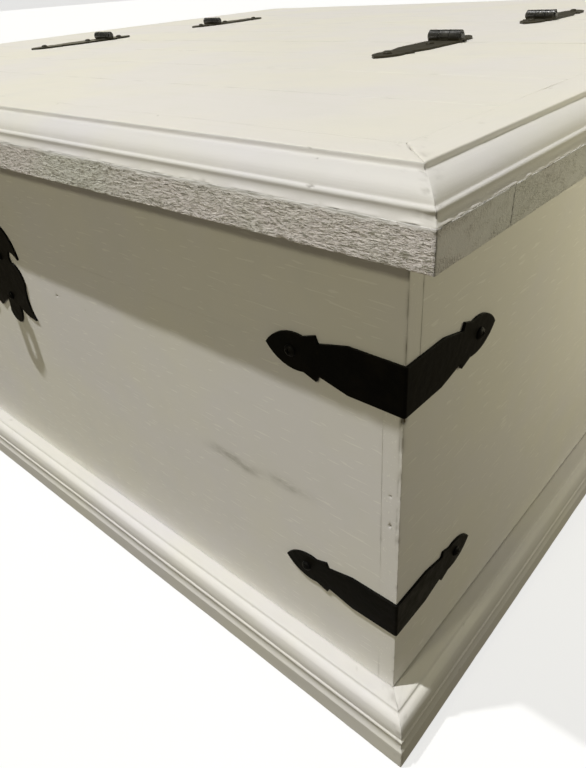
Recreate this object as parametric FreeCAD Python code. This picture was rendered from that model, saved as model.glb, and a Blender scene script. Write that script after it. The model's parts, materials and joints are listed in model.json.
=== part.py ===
import FreeCAD
import Part

import os

from FreeCAD import Vector

# Low square storage trunk of painted pine. A fixed centre board runs from left to right across
# the top. A front lid and a back lid are hinged to it on iron strap hinges, and each lid has a
# hasp that swings over an eye on the trunk. All sizes are in millimetres.
# The origin is on the floor under the middle of the trunk: +X right, -Y front, +Z up.

# ---- driving dimensions ----
BODY = 1008.0                # outer side of the square box of wall boards
HALF = BODY / 2
BOARD = 14.0                 # thickness of wall and bottom boards
WALL_FOOT = 3.0              # the wall boards stop short of the floor, the base carries the trunk
WALL_TOP = 419.2
WALL_SPLIT = 333.0           # where the upper and the lower wall board meet
TOP = 460.0                  # upper face of the lids and the centre board
PANEL_FOOT = 440.2           # lower face of the lid boards
RIM_FOOT = 419.6             # lower face of the rough-sawn rim
RIM_OUT = 30.5               # how far the rim stands out from the walls
RIM_WIDTH = 70.0
SEAM_Y = 114.0               # seams, and hinge axes, in front of and behind the centre
SEAM_GAP = 1.0               # from the seam's middle to each board edge
PANEL_INSET = 12.0           # the lid boards end this far inside the wall's outer face
BOARDS_PER_LID = 4
CENTRE_BOARDS = 2
JOINT_GAP = 0.4              # hairline between boards that lie side by side

POST = 30.0                  # inner corner posts
CLEAT = 20.0                 # strips under the bottom boards
CLEAT_FOOT = 10.0
FLOOR_TOP = CLEAT_FOOT + CLEAT + BOARD
BOTTOM_BOARDS = 8
RAIL_FOOT = 372.0            # rails below the edges of the centre board
RAIL_OUT = 18.0              # each rail reaches this far under its lid
RAIL_IN = 22.0
BATTEN_X = 250.0             # battens below the lid boards
BATTEN_WIDTH = 45.0
BATTEN_THICK = 17.0

BASE_HEIGHT = 52.0
BASE_LEDGE = 14.6            # flat top of the base moulding
BASE_OUT = 25.7

IRON = 2.0                   # thickness of the iron plates
BRACKET_LEG = 103.0
BRACKET_BASE = 16.7          # half height of a bracket at the corner
BRACKET_Z = (136.5, 333.5)

HINGE_X = 296.0              # hinge centres, left and right of the middle
BARREL_R = 5.5
BARREL_Z = TOP + 5.8
BARREL_HALF = 17.5
PIN_R = 2.5
RUNNING = 0.05               # radial clearance between pin and barrel
KNUCKLE_GAP = 0.4
STRAP_LEG = 124.0
STRAP_BASE = 17.2
SHORT_LEG = 48.0
SPEAR_SCREW = 21.0           # a leaf's screw, measured back from its point
ROOT_SCREW = 30.0            # a strap's other screw, measured from the hinge axis

HASP_AXIS_OUT = 34.5         # hasp hinge axis: distance out from the wall face, and height
HASP_AXIS_Z = 416.0
HASP_BARREL_R = 4.0
HASP_PIN_R = 1.8
HASP_KNUCKLE = 8.0           # half length of the strap's own knuckle
HASP_BARREL_HALF = 16.0
HASP_LENGTH = 102.0
HASP_SLOT = (50.0, 84.0)     # slot ends, measured down from the hinge axis
HASP_SLOT_HALF = 4.5
EYE_Z = 352.0
EYE_OUT = 19.0               # centre of the padlock hole
EYE_R = 5.0
EYE_OUTER_R = 10.0
EYE_THICK = 4.0
EYE_FOOT_HALF = 8.0          # half width and half height of the eye's foot
EYE_FOOT_REACH = 16.0
HASP_LEAF_HALF = 26.0        # the small leaf on the rim
HASP_LEAF_FOOT = HASP_AXIS_Z + 5.5
HASP_LEAF_TOP = 438.4
HASP_LEAF_ROUND = 6.0
HASP_LEAF_SCREW_X = 18.0

SCREW_R = 1.8
SCREW_CLEARANCE = 0.05
SCREW_LENGTH = 12.0
SCREW_HEAD_R = 4.2
SCREW_HEAD_H = 2.1

UP = Vector(0, 0, 1)
FAR = 900.0                  # longer than the trunk, for cutting solids

os.makedirs("parts", exist_ok=True)


def save(name, *solids):
    """Writes one named piece, or a group of like pieces, as a STEP file."""
    shape = solids[0] if len(solids) == 1 else Part.makeCompound(list(solids))
    shape.exportStep(os.path.join("parts", name + ".step"))


def block(x0, x1, y0, y1, z0, z1):
    """A box between two opposite corners."""
    return Part.makeBox(x1 - x0, y1 - y0, z1 - z0, Vector(x0, y0, z0))


def turned(shape, degrees, centre=Vector(0, 0, 0), axis=UP):
    """A copy turned about an axis."""
    copy = shape.copy()
    copy.rotate(centre, axis, degrees)
    return copy


def mirrored_x(shape):
    """A copy reflected from right to left."""
    return shape.mirror(Vector(0, 0, 0), Vector(1, 0, 0))


def outline(*edges):
    """A flat face from edges given as point lists: two points make a line, three make an arc."""
    made = []
    for points in edges:
        vectors = [Vector(*p) for p in points]
        if len(vectors) == 2:
            made.append(Part.makeLine(*vectors))
        else:
            made.append(Part.Arc(*vectors).toShape())
    return Part.Face(Part.Wire(made))


def polyline_edges(points):
    """The straight edges through a list of points."""
    return [(a, b) for a, b in zip(points, points[1:])]


# ---- fasteners ----

def screw():
    """A round-head wood screw, its head above z = 0 and its shank below, with a cross recess."""
    dome = outline(
        ((0, 0, 0), (SCREW_HEAD_R, 0, 0)),
        ((SCREW_HEAD_R, 0, 0), (SCREW_HEAD_R, 0, 0.6)),
        ((SCREW_HEAD_R, 0, 0.6), (SCREW_HEAD_R * 0.72, 0, SCREW_HEAD_H * 0.85), (0, 0, SCREW_HEAD_H)),
        ((0, 0, SCREW_HEAD_H), (0, 0, 0)))
    head = dome.revolve(Vector(0, 0, 0), UP, 360)
    recess_half = SCREW_HEAD_R * 0.5
    recess_width = 0.4
    floor_z = SCREW_HEAD_H - 1.0
    slot_a = block(-recess_half, recess_half, -recess_width, recess_width, floor_z, SCREW_HEAD_H + 1)
    slot_b = turned(slot_a, 90)
    shank = Part.makeCylinder(SCREW_R, SCREW_LENGTH, Vector(0, 0, -SCREW_LENGTH))
    return head.cut(slot_a.fuse(slot_b)).fuse(shank).removeSplitter()


def placed(shape, point, direction):
    """A copy whose +Z is turned to a direction, moved to a point."""
    copy = shape.copy()
    copy.Placement = FreeCAD.Placement(point, FreeCAD.Rotation(UP, direction))
    return copy


def screws_at(places):
    """Screws at a list of (point, direction), the point being under the head."""
    one = screw()
    return [placed(one, p, d) for p, d in places]


def drilled(shape, places):
    """The shape with a snug hole for the shank of each screw that meets it."""
    tool_length = SCREW_LENGTH + 2.0
    for point, direction in places:
        start = point - direction * (SCREW_LENGTH + 0.5)
        hole = Part.makeCylinder(SCREW_R + SCREW_CLEARANCE, tool_length, start, direction)
        if shape.BoundBox.intersect(hole.BoundBox):
            shape = shape.cut(hole)
    return shape


# ---- iron plates ----

def spear_outline(length, base_half, horned=True):
    """Half outline of an iron leaf along +X, from its root to its rounded point.

    A horned leaf has a shoulder, a pair of small horns and a neck before its head.
    """
    if horned:
        shoulder = (length - 65.0, base_half)
        horn_root = (length - 43.0, 11.3)
        horn_tip = (length - 41.0, 16.2)
        neck = (length - 31.0, 12.6)
        points = [(0, base_half), shoulder, horn_root, horn_tip, neck]
    else:
        neck = (length - 32.0, 12.8)
        points = [(0, base_half), (length - 36.0, base_half), neck]
    head_side = (length - 10.5, 9.6)
    return points, head_side


def spear_leaf(length, base_half, horned=True):
    """A flat iron leaf lying on z = 0, root at x = 0, point at x = length."""
    points, head_side = spear_outline(length, base_half, horned)
    upper = [(x, y, 0) for x, y in points]
    lower = [(x, -y, 0) for x, y in points]
    edges = polyline_edges(upper)
    tip = (length, 0, 0)
    edges.append((upper[-1], (head_side[0], head_side[1], 0), tip))
    edges.append((tip, (head_side[0], -head_side[1], 0), lower[-1]))
    edges += polyline_edges(lower[::-1])
    edges.append((lower[0], upper[0]))
    return outline(*edges).extrude(Vector(0, 0, IRON))


def corner_bracket(z):
    """The bent bracket around the front right corner, centred at height z."""
    # a leaf stands on the wall: +X along the wall away from the corner, +Z out of the wall
    leaf = spear_leaf(BRACKET_LEG + IRON, BRACKET_BASE)
    front = leaf.copy()
    # root at the corner's outside, running to the left on the front wall
    front.Placement = FreeCAD.Placement(
        Vector(HALF + IRON, -HALF, z),
        FreeCAD.Rotation(Vector(-1, 0, 0), Vector(0, 0, 1), Vector(0, -1, 0), "ZXY"))
    side = leaf.copy()
    side.Placement = FreeCAD.Placement(
        Vector(HALF, -HALF - IRON, z),
        FreeCAD.Rotation(Vector(0, 1, 0), Vector(0, 0, 1), Vector(1, 0, 0), "ZXY"))
    bent = front.fuse(side).removeSplitter()
    outer = [e for e in bent.Edges
             if abs(e.BoundBox.XMin - HALF - IRON) < 0.01 and e.BoundBox.XLength < 0.01
             and abs(e.BoundBox.YMin + HALF + IRON) < 0.01 and e.BoundBox.YLength < 0.01]
    return bent.makeFillet(IRON * 0.9, outer)


def bracket_screw_places():
    """The two screws of the bracket at the front right corner, at both heights."""
    places = []
    along = BRACKET_LEG - SPEAR_SCREW
    for z in BRACKET_Z:
        places.append((Vector(HALF - along, -HALF - IRON, z), Vector(0, -1, 0)))
        places.append((Vector(HALF + IRON, -HALF + along, z), Vector(1, 0, 0)))
    return places


def all_corners(places):
    """Copies the places of one corner to all four by mirroring them."""
    result = []
    for sx in (1, -1):
        for sy in (1, -1):
            for point, direction in places:
                result.append((Vector(sx * point.x, sy * point.y, point.z),
                               Vector(sx * direction.x, sy * direction.y, direction.z)))
    return result


def make_brackets(places):
    """Eight alike brackets, two on each corner."""
    brackets = []
    for z in BRACKET_Z:
        right_front = drilled(corner_bracket(z), places)
        right_back = right_front.mirror(Vector(0, 0, 0), Vector(0, 1, 0))
        for bracket in (right_front, right_back):
            brackets += [bracket, mirrored_x(bracket)]
    save("corner_brackets", *brackets)


# ---- walls, bottom and base ----

def make_walls(places):
    """Two boards on each wall. The upper ones run through at front and back, the lower at the sides."""
    inner = HALF - BOARD
    through = (-HALF, HALF)
    between = (-inner, inner)
    for name, x_span, y_span, z0, z1 in (
            ("upper_board", through, between, WALL_SPLIT, WALL_TOP),
            ("lower_board", between, through, WALL_FOOT, WALL_SPLIT)):
        front = drilled(block(*x_span, -HALF, -inner, z0, z1), places)
        back = turned(front, 180)
        right = drilled(block(inner, HALF, *y_span, z0, z1), places)
        left = turned(right, 180)
        save("front_wall_" + name, front)
        save("back_wall_" + name, back)
        save("right_wall_" + name, right)
        save("left_wall_" + name, left)


def make_bottom():
    """Bottom boards on cleats, and a post in each inner corner."""
    inner = HALF - BOARD
    post_in = inner - POST
    cleat_in = inner - CLEAT
    long_cleat = block(-inner, inner, -inner, -cleat_in, CLEAT_FOOT, CLEAT_FOOT + CLEAT)
    short_cleat = block(cleat_in, inner, -cleat_in, cleat_in, CLEAT_FOOT, CLEAT_FOOT + CLEAT)
    save("bottom_cleats", long_cleat, turned(long_cleat, 180), short_cleat, turned(short_cleat, 180))

    pitch = 2 * inner / BOTTOM_BOARDS
    boards = []
    for i in range(BOTTOM_BOARDS):
        y0 = -inner + i * pitch
        boards.append(block(-inner, inner, y0, y0 + pitch - JOINT_GAP, FLOOR_TOP - BOARD, FLOOR_TOP))
    save("bottom_boards", *boards)

    post = block(post_in, inner, -inner, -post_in, FLOOR_TOP, WALL_TOP)
    save("corner_posts", *[turned(post, 90 * i) for i in range(4)])


def quarter(turns):
    """The upright wedge of space on one side of the trunk, for mitring: 0 front, 1 right."""
    corners = [Vector(0, 0, 0), Vector(-FAR, -FAR, 0), Vector(FAR, -FAR, 0), Vector(0, 0, 0)]
    wedge = Part.Face(Part.makePolygon(corners)).extrude(Vector(0, 0, FAR))
    return turned(wedge, 90 * turns)


def front_strip(profile):
    """A profile of (distance out from the wall, height) edges, run along the front and mitred."""
    edges = []
    for points in profile:
        edges.append([(-FAR, -HALF - out, z) for out, z in points])
    return outline(*edges).extrude(Vector(2 * FAR, 0, 0)).common(quarter(0))


def base_profile():
    """Ledge, ovolo, bead and cove above a flat band."""
    ovolo_top = (BASE_LEDGE + 0.6, BASE_HEIGHT - 2.2)
    ovolo_foot = (23.0, 33.8)
    bead = (24.6, 32.2)
    cove_top = (24.2, 31.2)
    lip = (BASE_OUT, 20.6)
    return [
        ((0, 0), (BASE_OUT, 0)),
        ((BASE_OUT, 0), lip),
        (lip, (23.3, 26.0), cove_top),
        (cove_top, (24.8, 31.7), bead),
        (bead, (23.0, 33.0)),
        ((23.0, 33.0), ovolo_foot),
        (ovolo_foot, (21.2, 44.0), ovolo_top),
        (ovolo_top, (BASE_LEDGE, BASE_HEIGHT - 1.6)),
        ((BASE_LEDGE, BASE_HEIGHT - 1.6), (BASE_LEDGE - 0.6, BASE_HEIGHT)),
        ((BASE_LEDGE - 0.6, BASE_HEIGHT), (0, BASE_HEIGHT)),
        ((0, BASE_HEIGHT), (0, 0)),
    ]


def make_base():
    """Four base mouldings, mitred at the corners."""
    front = front_strip(base_profile())
    for turns, name in enumerate(("front", "right", "back", "left")):
        save("base_moulding_" + name, turned(front, 90 * turns))


# ---- top: mouldings, rims, boards, centre ----

def lid_profile():
    """Flat top, small fillet, ovolo, bead and cove that flares out over the rim."""
    edge = (12.5, TOP)
    fillet_foot = (14.6, TOP - 3.3)
    ovolo_foot = (27.3, TOP - 11.9)
    bead_out = (28.8, TOP - 12.9)
    cove_top = (28.4, TOP - 13.9)
    lip = (31.7, TOP - 19.1)
    return [
        ((-PANEL_INSET, PANEL_FOOT), (-PANEL_INSET, TOP)),
        ((-PANEL_INSET, TOP), edge),
        (edge, (13.7, TOP - 1.0)),
        ((13.7, TOP - 1.0), fillet_foot),
        (fillet_foot, (23.0, TOP - 5.4), ovolo_foot),
        (ovolo_foot, (28.3, TOP - 12.1), bead_out),
        (bead_out, cove_top),
        (cove_top, (29.1, TOP - 17.4), lip),
        (lip, (31.7, PANEL_FOOT)),
        ((31.7, PANEL_FOOT), (-PANEL_INSET, PANEL_FOOT)),
    ]


def make_lid_mouldings():
    """Mitred mouldings of the two lids, and the short ones on the ends of the centre board."""
    front = front_strip(lid_profile())
    side = turned(front, 90)
    lid_span = block(0, FAR, -FAR, -SEAM_Y - SEAM_GAP, 0, FAR)
    centre_span = block(0, FAR, -SEAM_Y + SEAM_GAP, SEAM_Y - SEAM_GAP, 0, FAR)
    front_right = side.common(lid_span)
    pieces = {"front": front, "right": front_right, "left": mirrored_x(front_right)}
    opposite = {"front": "back", "right": "left", "left": "right"}
    for place, piece in pieces.items():
        save("front_lid_moulding_" + place, piece)
        save("back_lid_moulding_" + opposite[place], turned(piece, 180))
    centre_right = side.common(centre_span)
    save("centre_moulding_right", centre_right)
    save("centre_moulding_left", mirrored_x(centre_right))


def make_rims(lid_places):
    """Rough-sawn boards that frame the lids from below and rest on the walls."""
    outer = HALF + RIM_OUT
    inner = outer - RIM_WIDTH
    front = drilled(block(-outer, outer, -outer, -inner, RIM_FOOT, PANEL_FOOT), lid_places)
    right = block(inner, outer, -inner + JOINT_GAP, -SEAM_Y - SEAM_GAP, RIM_FOOT, PANEL_FOOT)
    pieces = {"front": front, "right": right, "left": mirrored_x(right)}
    opposite = {"front": "back", "right": "left", "left": "right"}
    for place, piece in pieces.items():
        save("front_lid_rim_" + place, piece)
        save("back_lid_rim_" + opposite[place], turned(piece, 180))
    half = SEAM_Y - SEAM_GAP
    centre = block(inner, outer, -half, half, WALL_TOP, PANEL_FOOT)
    save("centre_rim_right", centre)
    save("centre_rim_left", mirrored_x(centre))


def make_lid_boards(lid_places):
    """Boards side by side from left to right, with two battens across them from below."""
    edge = HALF - PANEL_INSET
    first = -edge
    last = -SEAM_Y - SEAM_GAP
    pitch = (last - first) / BOARDS_PER_LID
    boards = []
    for i in range(BOARDS_PER_LID):
        y0 = first + i * pitch
        y1 = last if i == BOARDS_PER_LID - 1 else y0 + pitch - JOINT_GAP
        boards.append(drilled(block(-edge, edge, y0, y1, PANEL_FOOT, TOP), lid_places))
    save("front_lid_boards", *boards)
    save("back_lid_boards", *[turned(b, 180) for b in boards])

    y0 = -(HALF + RIM_OUT - RIM_WIDTH) + 2.0
    y1 = -SEAM_Y - RAIL_OUT - 4.0
    battens = []
    for x in (-BATTEN_X, BATTEN_X):
        half = BATTEN_WIDTH / 2
        battens.append(block(x - half, x + half, y0, y1, PANEL_FOOT - BATTEN_THICK, PANEL_FOOT))
    save("front_lid_battens", *battens)
    save("back_lid_battens", *[turned(b, 180) for b in battens])


def make_centre(fixed_places):
    """The fixed centre boards and the two rails that carry them."""
    edge = HALF - PANEL_INSET
    half = SEAM_Y - SEAM_GAP
    pitch = 2 * half / CENTRE_BOARDS
    boards = []
    for i in range(CENTRE_BOARDS):
        y0 = -half + i * pitch
        y1 = half if i == CENTRE_BOARDS - 1 else y0 + pitch - JOINT_GAP
        boards.append(drilled(block(-edge, edge, y0, y1, PANEL_FOOT, TOP), fixed_places))
    save("centre_boards", *boards)

    inner = HALF - BOARD
    rim_in = HALF + RIM_OUT - RIM_WIDTH
    y0 = -SEAM_Y - RAIL_OUT
    y1 = -SEAM_Y + RAIL_IN
    rail = block(-inner, inner, y0, y1, RAIL_FOOT, WALL_TOP)
    ledge = block(-rim_in + 2.0, rim_in - 2.0, y0, y1, WALL_TOP, PANEL_FOOT)
    rail = rail.fuse(ledge).removeSplitter()
    save("centre_rails", rail, turned(rail, 180))


# ---- strap hinges ----

def knuckle_spans():
    """The three knuckles of a strap hinge, from left to right."""
    third = 2 * BARREL_HALF / 3
    gap = KNUCKLE_GAP / 2
    spans = []
    for i in range(3):
        x0 = -BARREL_HALF + i * third
        start = x0 if i == 0 else x0 + gap
        end = x0 + third if i == 2 else x0 + third - gap
        spans.append((start, end))
    return spans


def leaf_with_knuckles(length, base_half, horned, own, toward):
    """A leaf on the lid surface with its own knuckles, about a hinge at x = 0 on the front seam.

    toward is -1 for a leaf that runs to the front and +1 for one that runs to the back.
    """
    leaf = spear_leaf(length, base_half, horned)
    leaf = turned(leaf, 90 * toward)
    leaf.translate(Vector(0, -SEAM_Y, TOP))
    spans = knuckle_spans()
    relief = BARREL_R + 1.0
    near = -SEAM_Y
    for i, (x0, x1) in enumerate(spans):
        y0, y1 = sorted((near, near + toward * relief))
        if i not in own:
            notch = block(x0 - KNUCKLE_GAP, x1 + KNUCKLE_GAP, y0 - 0.01, y1, TOP - 1, TOP + IRON + 1)
            leaf = leaf.cut(notch)
    bore = Part.makeCylinder(PIN_R + RUNNING, 4 * BARREL_HALF,
                             Vector(-2 * BARREL_HALF, -SEAM_Y, BARREL_Z), Vector(1, 0, 0))
    for i in own:
        x0, x1 = spans[i]
        knuckle = Part.makeCylinder(BARREL_R, x1 - x0, Vector(x0, -SEAM_Y, BARREL_Z), Vector(1, 0, 0))
        leaf = leaf.fuse(knuckle)
    return leaf.cut(bore).removeSplitter()


def hinge_pin():
    """A pin with slightly spread ends, just outside the barrel."""
    reach = BARREL_HALF + 0.3
    along = Vector(1, 0, 0)
    pin = Part.makeCylinder(PIN_R, 2 * reach, Vector(-reach, 0, 0), along)
    cap_r = PIN_R + 1.0
    cap = Part.makeCylinder(cap_r, 1.4, Vector(reach, 0, 0), along)
    cap = cap.makeFillet(0.9, [e for e in cap.Edges if abs(e.BoundBox.XMin - reach - 1.4) < 0.01])
    other = cap.mirror(Vector(0, 0, 0), along)
    return pin.fuse([cap, other]).removeSplitter()


def hinge_screw_places():
    """Screws of the front hinges: those in the lid, and those in the centre board."""
    top = TOP + IRON
    lid, fixed = [], []
    for x in (-HINGE_X, HINGE_X):
        lid.append((Vector(x, -SEAM_Y - STRAP_LEG + SPEAR_SCREW, top), UP))
        lid.append((Vector(x, -SEAM_Y - ROOT_SCREW, top), UP))
        fixed.append((Vector(x, -SEAM_Y + SHORT_LEG - SPEAR_SCREW, top), UP))
    return lid, fixed


def make_hinges(lid_places, fixed_places):
    """Four strap hinges: a long leaf on each lid and a short leaf on the centre board."""
    long_leaf = leaf_with_knuckles(STRAP_LEG, STRAP_BASE, True, (0, 2), -1)
    short_leaf = leaf_with_knuckles(SHORT_LEG, STRAP_BASE, False, (1,), 1)
    pin = hinge_pin()
    pins = []
    for side, x in (("left", -HINGE_X), ("right", HINGE_X)):
        other = "right" if side == "left" else "left"
        strap = long_leaf.copy()
        strap.translate(Vector(x, 0, 0))
        strap = drilled(strap, lid_places)
        leaf = short_leaf.copy()
        leaf.translate(Vector(x, 0, 0))
        leaf = drilled(leaf, fixed_places)
        save(f"front_{side}_hinge_strap", strap)
        save(f"back_{other}_hinge_strap", turned(strap, 180))
        save(f"front_{side}_hinge_leaf", leaf)
        save(f"back_{other}_hinge_leaf", turned(leaf, 180))
        for y in (-SEAM_Y, SEAM_Y):
            placed_pin = pin.copy()
            placed_pin.translate(Vector(x, y, BARREL_Z))
            pins.append(placed_pin)
    save("hinge_pins", *pins)


# ---- hasps ----

def hasp_plate_outline():
    """Right half of the scrolled plate as edges from its top point to its bottom point."""
    return [
        ((0, 374), (10, 371), (20, 362)),
        ((20, 362), (34, 357), (46, 349)),
        ((46, 349), (64, 336), (71, 315)),
        ((71, 315), (64, 320), (58, 322)),
        ((58, 322), (53, 316), (54, 309)),
        ((54, 309), (67, 300), (68, 286)),
        ((68, 286), (65, 268), (71, 250)),
        ((71, 250), (56, 252), (42, 260)),
        ((42, 260), (40, 247), (33, 238)),
        ((33, 238), (22, 240), (17, 248)),
        ((17, 248), (19, 255), (20, 262)),
        ((20, 262), (9, 256), (0, 250)),
    ]


HASP_PLATE_SCREWS = ((34.0, 312.0), (30.0, 268.0))


def hasp_plate():
    """A flat plate on the front wall with drooping shoulders and a forked foot."""
    right = hasp_plate_outline()
    left = [tuple((-x, z) for x, z in reversed(points)) for points in reversed(right)]
    edges = [[(x, -HALF, z) for x, z in points] for points in right + left]
    return outline(*edges).extrude(Vector(0, -IRON, 0))


def hasp_eye():
    """The padlock eye: a foot on the plate and a rounded tab with a round hole."""
    foot = block(-EYE_FOOT_HALF, EYE_FOOT_HALF, -HALF - 2 * IRON, -HALF - IRON,
                 EYE_Z - EYE_FOOT_REACH, EYE_Z + EYE_FOOT_REACH)
    root = -HALF - IRON
    tab = block(-EYE_THICK / 2, EYE_THICK / 2, -HALF - EYE_OUT, root,
                EYE_Z - EYE_OUTER_R, EYE_Z + EYE_OUTER_R)
    start = Vector(-EYE_THICK / 2, -HALF - EYE_OUT, EYE_Z)
    round_end = Part.makeCylinder(EYE_OUTER_R, EYE_THICK, start, Vector(1, 0, 0))
    hole = Part.makeCylinder(EYE_R, EYE_THICK, start, Vector(1, 0, 0))
    return foot.fuse([tab, round_end]).cut(hole).removeSplitter()


def hasp_leaf(lid_places):
    """The small leaf on the lid's rim with the two outer knuckles."""
    y = -HALF - HASP_AXIS_OUT
    back = -HALF - RIM_OUT
    plate = block(-HASP_LEAF_HALF, HASP_LEAF_HALF, back - IRON, back, HASP_LEAF_FOOT, HASP_LEAF_TOP)
    corners = [e for e in plate.Edges
               if e.BoundBox.YLength > IRON - 0.01 and e.BoundBox.ZMin > HASP_LEAF_TOP - 1]
    plate = plate.makeFillet(HASP_LEAF_ROUND, corners)
    neck = block(-HASP_BARREL_HALF, HASP_BARREL_HALF, back - IRON, back, HASP_AXIS_Z, HASP_LEAF_FOOT + 0.5)
    gap = block(-HASP_KNUCKLE - KNUCKLE_GAP, HASP_KNUCKLE + KNUCKLE_GAP, back - IRON - 1, back + 1,
                HASP_AXIS_Z - 1, HASP_LEAF_FOOT)
    leaf = plate.fuse(neck).cut(gap)
    for x0, x1 in ((-HASP_BARREL_HALF, -HASP_KNUCKLE - KNUCKLE_GAP),
                   (HASP_KNUCKLE + KNUCKLE_GAP, HASP_BARREL_HALF)):
        leaf = leaf.fuse(Part.makeCylinder(HASP_BARREL_R, x1 - x0, Vector(x0, y, HASP_AXIS_Z),
                                           Vector(1, 0, 0)))
    leaf = leaf.cut(hasp_bore())
    return drilled(leaf.removeSplitter(), lid_places)


def hasp_bore():
    """The hole for the hasp pin through every knuckle."""
    start = Vector(-2 * HASP_BARREL_HALF, -HALF - HASP_AXIS_OUT, HASP_AXIS_Z)
    return Part.makeCylinder(HASP_PIN_R + RUNNING, 4 * HASP_BARREL_HALF, start, Vector(1, 0, 0))


def hasp_strap():
    """The hanging strap: knuckle, waist, wider foot with the slot, rounded point."""
    y = -HALF - HASP_AXIS_OUT
    face = y - HASP_BARREL_R
    z = HASP_AXIS_Z
    half = [(14.0, z), (10.5, z - 30), (15.5, z - 44), (15.5, z - 84)]
    tip = (0, face, z - HASP_LENGTH)
    right = [(x, face, height) for x, height in half]
    left = [(-x, face, height) for x, height in half]
    edges = polyline_edges(right)
    edges.append((right[-1], (9.5, face, z - HASP_LENGTH + 7.5), tip))
    edges.append((tip, (-9.5, face, z - HASP_LENGTH + 7.5), left[-1]))
    edges += polyline_edges(left[::-1])
    edges.append((left[0], right[0]))
    plate = outline(*edges).extrude(Vector(0, IRON, 0))
    relief = HASP_BARREL_R + 1.5
    for x0, x1 in ((-20, -HASP_KNUCKLE), (HASP_KNUCKLE, 20)):
        plate = plate.cut(block(x0, x1, face - 1, face + IRON + 1, z - relief, z + 1))
    slot = block(-HASP_SLOT_HALF, HASP_SLOT_HALF, face - 1, face + IRON + 1,
                 z - HASP_SLOT[1], z - HASP_SLOT[0])
    slot = slot.makeFillet(HASP_SLOT_HALF - 0.01, [e for e in slot.Edges if e.BoundBox.YLength > IRON])
    knuckle = Part.makeCylinder(HASP_BARREL_R, 2 * HASP_KNUCKLE, Vector(-HASP_KNUCKLE, y, z),
                                Vector(1, 0, 0))
    return plate.cut(slot).fuse(knuckle).cut(hasp_bore()).removeSplitter()


def hasp_pin():
    """The pin through the hasp's knuckles."""
    reach = HASP_BARREL_HALF + 0.8
    start = Vector(-reach, -HALF - HASP_AXIS_OUT, HASP_AXIS_Z)
    return Part.makeCylinder(HASP_PIN_R, 2 * reach, start, Vector(1, 0, 0))


def hasp_screw_places():
    """Screws of the front hasp: those in the wall and those in the lid's rim."""
    out = Vector(0, -1, 0)
    wall = [(Vector(side * x, -HALF - IRON, z), out) for x, z in HASP_PLATE_SCREWS for side in (-1, 1)]
    rim_z = (HASP_LEAF_FOOT + HASP_LEAF_TOP) / 2
    rim = [(Vector(side * HASP_LEAF_SCREW_X, -HALF - RIM_OUT - IRON, rim_z), out) for side in (-1, 1)]
    return wall, rim


def make_hasps(wall_places, rim_places):
    """A hasp at the middle of the front and another at the back."""
    pieces = {
        "hasp_plate": drilled(hasp_plate(), wall_places),
        "hasp_eye": hasp_eye(),
        "hasp_leaf": hasp_leaf(rim_places),
        "hasp_pin": hasp_pin(),
        "hasp_strap": hasp_strap(),
    }
    for name, piece in pieces.items():
        save("front_" + name, piece)
        save("back_" + name, turned(piece, 180))


def half_turn(places):
    """The same places on the other side of the trunk."""
    return [(Vector(-p.x, -p.y, p.z), Vector(-d.x, -d.y, d.z)) for p, d in places]


def main():
    bracket_places = all_corners(bracket_screw_places())
    lid_places, fixed_places = hinge_screw_places()
    plate_places, rim_places = hasp_screw_places()
    fixed_both = fixed_places + half_turn(fixed_places)

    make_walls(bracket_places + plate_places)
    make_bottom()
    make_base()
    make_lid_mouldings()
    make_rims(rim_places)
    make_lid_boards(lid_places)
    make_centre(fixed_both)
    make_brackets(bracket_places)
    make_hinges(lid_places, fixed_places)
    make_hasps(plate_places, rim_places)

    body_places = bracket_places + fixed_both + plate_places + half_turn(plate_places)
    save("body_screws", *screws_at(body_places))
    save("front_lid_screws", *screws_at(lid_places + rim_places))
    save("back_lid_screws", *screws_at(half_turn(lid_places + rim_places)))


main()
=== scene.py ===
import itertools
import json
import math

import bmesh
import bpy
import numpy as np
from mathutils import Matrix, Vector

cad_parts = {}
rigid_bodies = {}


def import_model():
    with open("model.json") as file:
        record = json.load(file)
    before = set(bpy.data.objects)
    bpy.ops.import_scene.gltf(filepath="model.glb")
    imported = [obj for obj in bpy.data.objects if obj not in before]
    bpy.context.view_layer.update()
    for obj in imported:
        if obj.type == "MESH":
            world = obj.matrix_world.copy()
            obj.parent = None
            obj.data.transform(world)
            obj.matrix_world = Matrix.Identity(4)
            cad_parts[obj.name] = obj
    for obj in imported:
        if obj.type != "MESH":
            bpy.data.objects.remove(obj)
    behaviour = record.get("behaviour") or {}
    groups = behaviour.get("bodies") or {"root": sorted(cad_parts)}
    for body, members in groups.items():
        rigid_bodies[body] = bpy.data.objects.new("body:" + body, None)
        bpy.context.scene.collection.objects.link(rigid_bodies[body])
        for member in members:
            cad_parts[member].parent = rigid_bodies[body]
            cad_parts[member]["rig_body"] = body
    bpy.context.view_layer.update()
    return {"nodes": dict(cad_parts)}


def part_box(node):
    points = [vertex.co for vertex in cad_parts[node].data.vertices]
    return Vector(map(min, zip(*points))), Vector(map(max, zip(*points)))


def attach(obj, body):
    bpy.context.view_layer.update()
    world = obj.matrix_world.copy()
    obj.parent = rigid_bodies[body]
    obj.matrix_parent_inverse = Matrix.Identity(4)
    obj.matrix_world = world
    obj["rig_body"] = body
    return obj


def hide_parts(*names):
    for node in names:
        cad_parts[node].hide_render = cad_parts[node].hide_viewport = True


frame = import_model()

# A low square trunk of white-painted pine. Two lids are hinged to a fixed centre board.
# All sizes are in metres, in the frame of the CAD model.

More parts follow.
